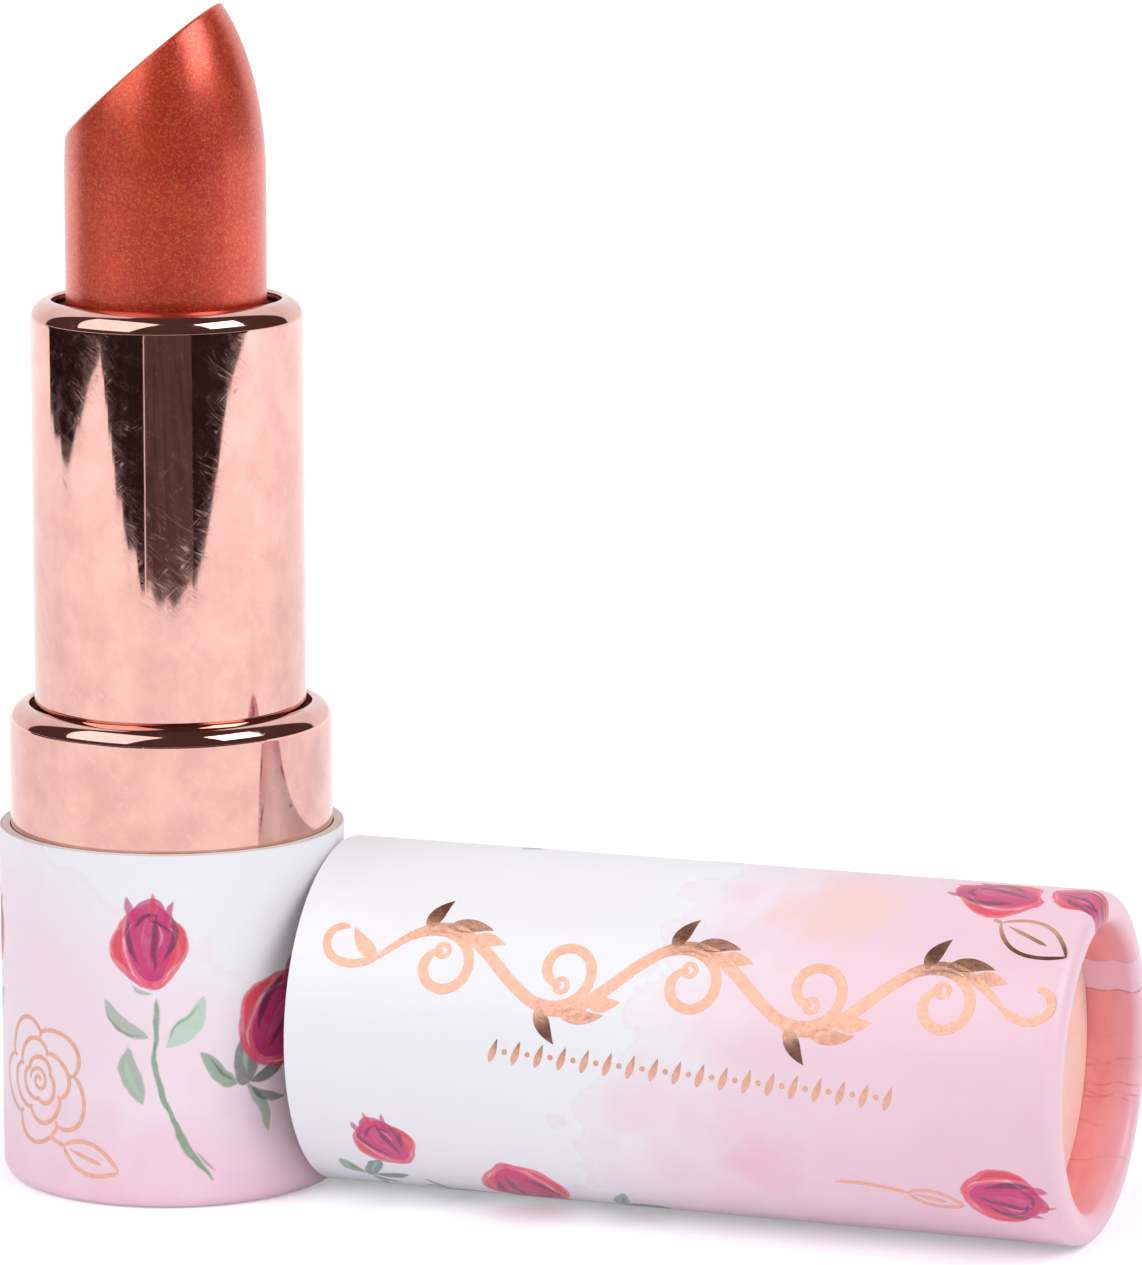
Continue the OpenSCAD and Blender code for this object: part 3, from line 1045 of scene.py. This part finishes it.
# %% Print of the case and of the cap
PAPER_WHITE = linear(247, 247, 252)
WASH_PINK = linear(250, 222, 234)
WASH_DEEP = linear(246, 186, 206)
PEACH = linear(253, 214, 200)
SALMON = linear(252, 170, 168)
SALMON_DEEP = linear(244, 142, 146)
FLAP_PINK = linear(250, 206, 222)
# The last two colours are painted shade: one along the flap's edges, one in the creases of the turned-in
# paper.
SEAM_SHADE = linear(150, 104, 96)
CREASE_SHADE = linear(196, 96, 108)


def paper_base(name):
    material, net, shader = new_material(name)
    shader.inputs["Coat Weight"].default_value = 0.3
    shader.inputs["Coat Roughness"].default_value = 0.28
    shader.inputs["Specular IOR Level"].default_value = 0.45
    return material, net, shader


def paper_surface(net, shader, spot, x, y, colour):
    """The screen of the print, the fibres under the film, and the finished colour."""
    screen = net.math("SINE", net.math("MULTIPLY", net.math("ADD", x, y), 19.0))
    cross = net.math("SINE", net.math("MULTIPLY", net.math("SUBTRACT", x, y), 26.0))
    weave = net.math("MULTIPLY", net.math("ADD", screen, net.math("MULTIPLY", cross, 0.5)), 0.5)
    felt = net.group(fibres, Position=spot, Scale=0.8)
    tone = net.mix(net.remap(weave, -1.0, 1.0, 0.0, 0.05), colour, linear(190, 160, 190))
    tone = net.mix(net.remap(felt["Mottle"], 0.3, 0.8, 0.0, 0.05), tone, linear(226, 210, 222))
    net.put(shader.inputs["Base Color"], tone)
    net.put(shader.inputs["Roughness"], net.remap(felt["Mottle"], 0.3, 0.7, 0.4, 0.52))
    height = net.math("MULTIPLY_ADD", weave, 0.16, felt["Height"])
    relief(net, shader, height, 0.2, 0.02)


def jittered(net, flat):
    """The flat position, shaken by a little noise as a wet edge wanders."""
    slow = net.noise(flat, 0.42, 2.0, 0.45, output="Color")
    quick = net.noise(flat, 4.5, 2.0, 0.6, output="Color")
    shake = net.vector("ADD", net.vector("SCALE", net.vector("SUBTRACT", slow, (0.5, 0.5, 0.5)), scale=0.9),
                       net.vector("SCALE", net.vector("SUBTRACT", quick, (0.5, 0.5, 0.5)), scale=0.07))
    return net.vector("ADD", flat, net.vector("MULTIPLY", shake, (1.0, 1.0, 0.0)))


def pigment_strength(net, flat):
    """Watercolour lies unevenly: thin in some places and pooled in others."""
    return net.remap(net.noise(flat, 1.7, 4.0, 0.65), 0.25, 0.7, 0.8, 1.0)


def tucked_colour(net, colour, radius, depth, around):
    """The turned-in part of the cap's paper: salmon, the paler overlapping flap, and painted shade at the
    flap's edges and in the creases.
    """
    tucked = net.remap(radius, end_r + 0.25, end_r + 1.1, 1.0, 0.0, smooth=True)
    inward = net.remap(depth, 0.1, 2.2, 0.35, 1.0)
    wander = net.math("MULTIPLY", net.math("SINE", net.math("MULTIPLY_ADD", depth, 3.1, 0.7)), 0.1)
    place = net.math("SUBTRACT", around, wander)
    low, high = (math.radians(edge) * case_r for edge in CAP_LAP)
    above_low = net.remap(place, low - 0.05, low + 0.05)
    below_high = net.remap(place, high + 0.03, high - 0.03)
    on_flap = net.math("MULTIPLY", above_low, below_high)
    patchy = net.noise(net.join(depth, net.math("MULTIPLY", around, 0.35), 0.0), 0.7, 3.0, 0.6)
    wall = net.mix(net.remap(patchy, 0.3, 0.7), SALMON, SALMON_DEEP)
    wall = net.mix(on_flap, wall, FLAP_PINK)
    colour = net.mix(net.math("MULTIPLY", tucked, inward), colour, wall)
    # Painted shade: a thin, broken darker line along each edge of the overlapping flap.
    for edge, cover, width in ((high, 0.8, 0.11), (low, 0.3, 0.08)):
        off = net.math("ABSOLUTE", net.math("SUBTRACT", place, edge))
        broken = net.remap(net.noise(net.join(depth, around, 3.0), 2.6, 2.0), 0.35, 0.55)
        line = net.math("MULTIPLY", net.remap(off, 0.0, width, 1.0, 0.0), broken)
        colour = net.mix(net.math("MULTIPLY", net.math("MULTIPLY", line, cover), tucked), colour, SEAM_SHADE)
    # Painted shade: thin darker rose lines along the first seven creases, broken up by noise.
    shade_breaks = net.remap(net.noise(net.join(depth, around, 9.0), 1.1, 3.0), 0.38, 0.62)
    for degrees, lean, _ in CAP_CREASES[:7]:
        centre = net.math("MULTIPLY_ADD", depth, lean * case_r, math.radians(degrees) * case_r)
        off = net.math("ABSOLUTE", net.math("SUBTRACT", place, centre))
        line = net.math("MULTIPLY", net.remap(off, 0.0, 0.13, 0.55, 0.0), shade_breaks)
        colour = net.mix(net.math("MULTIPLY", line, tucked), colour, CREASE_SHADE)
    return colour


def case_print():
    material, net, shader = paper_base("case_print")
    spot = millimetres(net)
    x, y, z = net.parts(spot)
    c, s = math.cos(FRONT), math.sin(FRONT)
    toward = net.math("ADD", net.math("MULTIPLY", x, c), net.math("MULTIPLY", y, s))
    sideways = net.math("SUBTRACT", net.math("MULTIPLY", y, c), net.math("MULTIPLY", x, s))
    around = net.math("MULTIPLY", net.math("ARCTAN2", sideways, toward), case_r)
    flat = net.join(around, z, 0.0)
    wet = jittered(net, flat)

    lean = net.math("SINE", net.math("MULTIPLY_ADD", around, 1 / case_r, 0.2))
    slope = net.math("MULTIPLY_ADD", lean, -6.0, 18.0)
    wash = net.group(drying_wash, Position=flat, Inside=net.math("SUBTRACT", slope, z), Ragged=2.6, Fade=7.0)
    colour = net.mix(net.math("MULTIPLY", wash["Cover"], 0.75), PAPER_WHITE, WASH_PINK)
    low = net.math("SUBTRACT", 6.0, z)
    elsewhere = net.vector("ADD", flat, (31.0, 7.0, 0.0))
    deep = net.group(drying_wash, Position=elsewhere, Inside=low, Ragged=5.0, Fade=8.0)
    colour = net.mix(net.math("MULTIPLY", deep["Cover"], 0.6), colour, WASH_DEEP)
    colour = net.mix(net.math("MULTIPLY", wash["Edge"], 0.12), colour, WASH_DEEP)

    strength = pigment_strength(net, flat)
    buds = [((-1.5, 16.5), 0, 1.0), ((7.0, 11.6), -42, 1.2), ((14.5, 15.5), 25, 0.9),
            ((-16.5, 15.8), -14, 1.0), ((24.5, 14.4), -20, 1.05), ((-25.5, 8.0), 40, 0.95),
            ((31.0, 6.5), 80, 0.9)]
    stalks = [((-1.5, 16.5), 0, 1.0), ((-16.5, 15.8), -14, 0.9), ((24.5, 14.4), -20, 0.85)]
    sprays = [((4.3, 7.4), 0, 1.0), ((13.0, 11.2), 30, 0.8), ((-23.0, 12.5), 20, 0.8),
              ((30.0, 10.5), -30, 0.9)]
    colour = paint(net, colour, STALK, stamp_places(net, wet, stalks, (0.6, -9.0), (5.0, 7.6)), strength)
    colour = paint(net, colour, LEAF_SPRAY, stamp_places(net, wet, sprays, (0.0, 0.0), (4.4, 4.4)), strength)
    colour = paint(net, colour, ROSEBUD, stamp_places(net, wet, buds, (0.0, 0.2), (3.2, 3.6)), strength)
    paper_surface(net, shader, spot, around, z, colour)
    return material


def cap_print():
    material, net, shader = paper_base("cap_print")
    spot = millimetres(net)
    x, y, z = net.parts(spot)
    along = net.math("SUBTRACT", x, cap_low.x)
    out = net.math("SUBTRACT", cap_y, y)
    up = net.math("SUBTRACT", z, cap_z)
    around = net.math("MULTIPLY", net.math("ARCTAN2", up, out), case_r)
    radius = net.math("SQRT", net.math("ADD", net.math("MULTIPLY", out, out), net.math("MULTIPLY", up, up)))
    flat = net.join(along, around, 0.0)
    wet = jittered(net, flat)

    edge = net.math("MULTIPLY_ADD", net.math("SINE", net.math("MULTIPLY", around, 1 / case_r)), 4.0, 21.0)
    inside = net.math("SUBTRACT", along, edge)
    wash = net.group(drying_wash, Position=flat, Inside=inside, Ragged=6.5, Fade=9.0)
    colour = net.mix(net.math("MULTIPLY", wash["Cover"], 0.95), PAPER_WHITE, WASH_PINK)
    colour = net.mix(net.math("MULTIPLY", wash["Edge"], 0.14), colour, WASH_DEEP)
    far = net.math("SUBTRACT", along, 27.0)
    elsewhere = net.vector("ADD", flat, (13.0, 40.0, 0.0))
    deep = net.group(drying_wash, Position=elsewhere, Inside=far, Ragged=9.0, Fade=26.0)
    colour = net.mix(net.math("MULTIPLY", deep["Cover"], 0.5), colour, WASH_DEEP)
    blots = [(33.5, 11.8, 6.5, PEACH, 0.7), (30.0, -5.5, 4.0, WASH_DEEP, 0.45),
             (22.0, -2.0, 3.5, WASH_PINK, 0.5), (28.0, 27.0, 7.0, PEACH, 0.6)]
    for spot_x, spot_y, reach, tint, cover in blots:
        away = net.vector("DISTANCE", flat, (spot_x, spot_y, 0.0))
        blot = net.group(drying_wash, Position=net.vector("ADD", flat, (spot_x * 3, 5.0, 0.0)),
                         Inside=net.math("SUBTRACT", reach * 0.6, away), Ragged=reach * 0.6, Fade=reach * 0.5)
        colour = net.mix(net.math("MULTIPLY", blot["Cover"], cover), colour, tint)

    strength = pigment_strength(net, flat)
    buds = [((5.6, -6.3), 25, 0.82), ((13.6, -10.6), 190, 1.15), ((41.6, 14.9), 70, 1.05),
            ((44.2, -6.4), -98, 0.95), ((46.6, 15.6), 250, 0.8), ((8.0, 22.5), -30, 1.0),
            ((24.0, 20.5), 60, 0.9), ((38.0, 28.0), 10, 1.1), ((24.5, -20.0), 140, 1.0),
            ((40.0, -20.5), 20, 1.0), ((14.0, -27.5), -60, 1.05)]
    sprays = [((3.6, -10.6), -20, 0.75), ((8.6, -12.2), 190, 0.7), ((19.0, -12.8), -70, 0.9),
              ((12.5, 19.8), 100, 0.9), ((29.0, 22.5), 20, 0.8), ((42.0, 23.5), 200, 0.9),
              ((29.5, -17.0), 10, 0.9), ((40.5, -27.5), 160, 0.9)]
    colour = paint(net, colour, LEAF_SPRAY, stamp_places(net, wet, sprays, (0.0, 0.0), (4.4, 4.4)), strength)
    colour = paint(net, colour, ROSEBUD, stamp_places(net, wet, buds, (0.0, 0.2), (3.2, 3.6)), strength)

    colour = tucked_colour(net, colour, radius, net.math("SUBTRACT", cap_length, along), around)
    paper_surface(net, shader, spot, along, around, colour)
    return material


dress(case_paper, case_print())
dress(cap_paper, cap_print())
print("printed paper is dressed")

# %% [markdown]
# ## The plainer parts
#
# Board, card, moulded plastic, rubber and steel show little or nothing from outside, but they are seen when
# the cap is off or the lipstick is taken apart, so each gets its own finish.

# %% Board, card and end papers
def fibre_material(name, light, dark, roughness, strength, scale=1.0):
    material, net, shader = new_material(name)
    shader.inputs["Specular IOR Level"].default_value = 0.25
    spot = millimetres(net)
    felt = net.group(fibres, Position=spot, Scale=scale)
    tone = net.mix(net.remap(felt["Mottle"], 0.3, 0.7), light, dark)
    tone = net.mix(net.remap(felt["Height"], 0.45, 0.65, 0.0, 0.3), tone, dark)
    net.put(shader.inputs["Base Color"], tone)
    net.put(shader.inputs["Roughness"], net.remap(felt["Mottle"], 0.3, 0.7, roughness, roughness + 0.12))
    relief(net, shader, felt["Height"], strength, 0.06)
    return material


board = fibre_material("raw_board", linear(250, 243, 236), linear(232, 220, 208), 0.8, 0.7, 1.4)
card = fibre_material("card", linear(218, 206, 190), linear(190, 176, 158), 0.85, 0.5)
peach_paper = fibre_material("peach_paper", linear(255, 222, 210), linear(255, 210, 198), 0.55, 0.25)
label_paper = fibre_material("label_paper", linear(250, 249, 250), linear(240, 238, 242), 0.5, 0.2)

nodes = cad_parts
for name in ("base_tube", "cap_tube"):
    dress(nodes[name], board)
for name in ("base_card_disc", "cap_card_disc"):
    dress(nodes[name], card)
for name in ("base_end_paper", "cap_end_paper"):
    dress(nodes[name], peach_paper)
dress(nodes["shade_label"], label_paper)

# %% Plastic, rubber and steel
def plastic_material():
    """White moulded plastic: fine spark-eroded grain, faint flow marks, a slightly waxy skin."""
    material, net, shader = new_material("white_plastic", IOR=1.49)
    shader.inputs["Subsurface Weight"].default_value = 0.05
    shader.inputs["Subsurface Radius"].default_value = (0.001, 0.001, 0.001)
    spot = millimetres(net)
    flow = net.noise(spot, 0.3, 3.0, 0.5)
    grain = net.noise(spot, 14.0, 3.0, 0.6)
    net.put(shader.inputs["Base Color"], net.mix(flow, linear(244, 243, 240), linear(234, 233, 231)))
    net.put(shader.inputs["Roughness"], net.remap(flow, 0.3, 0.7, 0.3, 0.42))
    relief(net, shader, grain, 0.15, 0.02)
    return material


def rubber_material():
    material, net, shader = new_material("drag_rubber")
    spot = millimetres(net)
    dust = net.noise(spot, 4.0, 4.0, 0.7)
    dusty = net.remap(dust, 0.5, 0.8)
    net.put(shader.inputs["Base Color"], net.mix(dusty, linear(42, 42, 44), linear(78, 76, 74)))
    net.put(shader.inputs["Roughness"], net.remap(dust, 0.3, 0.7, 0.65, 0.85))
    relief(net, shader, dust, 0.3, 0.02)
    return material


def steel_material():
    """A turned slug: fine rings from the lathe and a few wiping marks."""
    material, net, shader = new_material("turned_steel", Metallic=1.0)
    spot = millimetres(net)
    x, y, z = net.parts(spot)
    radius = net.math("SQRT", net.math("ADD", net.math("MULTIPLY", x, x), net.math("MULTIPLY", y, y)))
    rings = net.math("SINE", net.math("MULTIPLY", net.math("ADD", radius, z), 34.0))
    marks = net.group(scratches, Position=net.join(x, y, 0.0), Scale=1.2, Amount=0.8)
    tone = net.mix(marks["Smear"], linear(196, 197, 200), linear(168, 169, 172))
    net.put(shader.inputs["Base Color"], tone)
    net.put(shader.inputs["Roughness"], net.math("MULTIPLY_ADD", marks["Mask"], 0.2, 0.28))
    relief(net, shader, net.math("MULTIPLY_ADD", marks["Mask"], -1.0, rings), 0.2, 0.02)
    return material


white_plastic = plastic_material()
for name in ("inner_base", "guide_ring", "slotted_sleeve", "spiral_sleeve", "cup", "cap_liner"):
    dress(nodes[name], white_plastic)
dress(nodes["torque_ring"], rubber_material())
dress(nodes["base_weight"], steel_material())
print("every CAD node that shows has a finish")

# %% [markdown]
# ## The studio
#
# A white sheet, white walls behind and two large soft lights, one each side above the camera. Polished
# metal shows the rest of the room too: the ceiling and the space behind the camera are dark, and the white
# sheet ends a hand's width in front of the lipstick. Dark cards on the floor, which only reflections see,
# stand for what lies beyond the sheet.

# %% Floor
FLOOR_R = 30.0
WORLD_WHITE = (0.985, 0.985, 1.0, 1.0)
WORLD_LIGHT = 0.42
SHEET_GLOW = 0.34
SHEET_ASPECT = 0.62


def make_floor():
    mesh = bpy.data.meshes.new("floor")
    form = bmesh.new()
    bmesh.ops.create_circle(form, cap_ends=True, segments=64, radius=FLOOR_R)
    form.to_mesh(mesh)
    form.free()
    piece = bpy.data.objects.new("floor", mesh)
    scene.collection.objects.link(piece)
    material, net, shader = new_material("white_sheet")
    shader.inputs["Base Color"].default_value = linear(246, 246, 250)
    shader.inputs["Roughness"].default_value = 0.65
    shader.inputs["Specular IOR Level"].default_value = 0.2
    rays = net.node("ShaderNodeLightPath")
    direct = net.math("MAXIMUM", rays.outputs["Is Camera Ray"], rays.outputs["Is Glossy Ray"])
    away = net.vector("LENGTH", millimetres(net))
    glow = net.remap(away, 90.0, 500.0, SHEET_GLOW, 2 * SHEET_GLOW, smooth=True)
    shader.inputs["Emission Color"].default_value = WORLD_WHITE
    net.put(shader.inputs["Emission Strength"], net.math("MULTIPLY", direct, glow))
    piece.data.materials.append(material)
    return piece


floor = make_floor()

# %% Dark cards that only reflections see
def toward_front(distance, side_deg):
    """A spot on the floor in millimetres, side_deg to the right of the line from the case to the camera."""
    a = FRONT + math.radians(side_deg)
    return (distance * math.cos(a), distance * math.sin(a))


def make_card(name, corners, colour, lift):
    mesh = bpy.data.meshes.new(name)
    mesh.from_pydata([(x * MM, y * MM, lift * MM) for x, y in corners], [], [tuple(range(len(corners)))])
    piece = bpy.data.objects.new(name, mesh)
    scene.collection.objects.link(piece)
    material, net, shader = new_material(name)
    spot = millimetres(net)
    streak = net.noise(net.vector("MULTIPLY", spot, (1.0, 0.2, 1.0)), 0.05, 4.0, 0.7)
    net.put(shader.inputs["Base Color"], net.mix(streak, colour, (0.0, 0.0, 0.0, 1.0)))
    shader.inputs["Roughness"].default_value = 1.0
    shader.inputs["Specular IOR Level"].default_value = 0.0
    piece.data.materials.append(material)
    piece.visible_camera = False
    piece.visible_diffuse = False
    piece.visible_shadow = False
    piece.visible_transmission = False
    return piece


FAR = 2500
ROOM_DARK = linear(66, 50, 50)
ROOM_GREY = linear(128, 108, 102)
LEFT_CORNERS = [(218, -20), (255, -38), (295, -47), (370, -57), (325, -75), (286, -93), (320, -115),
                (FAR, -118), (FAR, -19)]
RIGHT_CORNERS = [(FAR, 20), (FAR, 72), (390, 70), (340, 51), (285, 41), (240, 29), (218, 20)]
MIDDLE_CORNERS = [(FAR, -19), (FAR, 20), (218, 20), (212, 0), (218, -19)]


def torn(corners):
    """Joins the corners with sides that wander a little, so no edge looks cut with a ruler."""
    edge = []
    for (d0, a0), (d1, a1) in zip(corners, corners[1:] + corners[:1]):
        steps = 7 if max(d0, d1) < FAR else 1
        for k in range(steps):
            t = k / steps
            swing = math.sin(0.9 * (d0 + (d1 - d0) * t) + a0) if k else 0.0
            edge.append((d0 + (d1 - d0) * t + 5.0 * swing, a0 + (a1 - a0) * t + 0.8 * swing))
    return edge


for name, corners, colour, lift in (("dark_floor_left", LEFT_CORNERS, ROOM_DARK, 0.4),
                                 ("dark_floor_right", RIGHT_CORNERS, ROOM_DARK, 0.4),
                                 ("grey_floor_middle", MIDDLE_CORNERS, ROOM_GREY, 0.6)):
    make_card(name, [toward_front(distance, side) for distance, side in torn(corners)], colour, lift)

# %% World
def make_world():
    """White for the camera and softer for shading. Reflections see a white sheet behind and the dark room."""
    world = bpy.data.worlds.new("studio")
    world.use_nodes = True
    scene.world = world
    net = Net(world.node_tree)
    background = world.node_tree.nodes["Background"]
    look = net.node("ShaderNodeTexCoord").outputs["Generated"]
    behind = net.vector("DOT_PRODUCT", look, (-math.cos(FRONT), -math.sin(FRONT), 0.0))
    aside = net.math("ABSOLUTE", net.vector("DOT_PRODUCT", look, (math.sin(FRONT), -math.cos(FRONT), 0.0)))
    height = net.parts(look)[2]
    on_sheet = net.remap(net.math("MULTIPLY_ADD", aside, -SHEET_ASPECT, behind), -0.03, 0.03, smooth=True)
    below_top = net.remap(height, 0.965, 0.94, smooth=True)
    below_floor = net.remap(height, 0.0, -0.02)
    white = net.math("MAXIMUM", net.math("MULTIPLY", on_sheet, below_top), below_floor)
    reflected = net.mix(white, linear(84, 64, 60), (1.0, 1.0, 1.0, 1.0))
    rays = net.node("ShaderNodeLightPath")
    shading = net.mix(rays.outputs["Is Glossy Ray"], (WORLD_LIGHT, WORLD_LIGHT, WORLD_LIGHT, 1.0), reflected)
    seen = net.mix(rays.outputs["Is Camera Ray"], shading, WORLD_WHITE)
    net.put(background.inputs["Color"], seen)


make_world()

# %% Soft lights
def soft_light(name, side_deg, rise_deg, distance, width, height, power):
    """A large panel that looks at the object. side_deg is counted from the camera's side, to the right."""
    a = FRONT + math.radians(side_deg)
    e = math.radians(rise_deg)
    target = Vector((18, 0, 30)) * MM
    way = Vector((math.cos(a) * math.cos(e), math.sin(a) * math.cos(e), math.sin(e)))
    light = bpy.data.lights.new(name, "AREA")
    light.shape = "RECTANGLE"
    light.size = width * MM
    light.size_y = height * MM
    light.energy = power
    panel = bpy.data.objects.new(name, light)
    panel.location = target + way * distance * MM
    panel.rotation_mode = "QUATERNION"
    panel.rotation_quaternion = way.to_track_quat("Z", "Y")
    scene.collection.objects.link(panel)
    return panel


soft_light("left_panel", -57, 41, 900, 860, 860, 3.7)
soft_light("right_panel", 55, 41, 900, 500, 480, 3.5)
print("studio is lit")
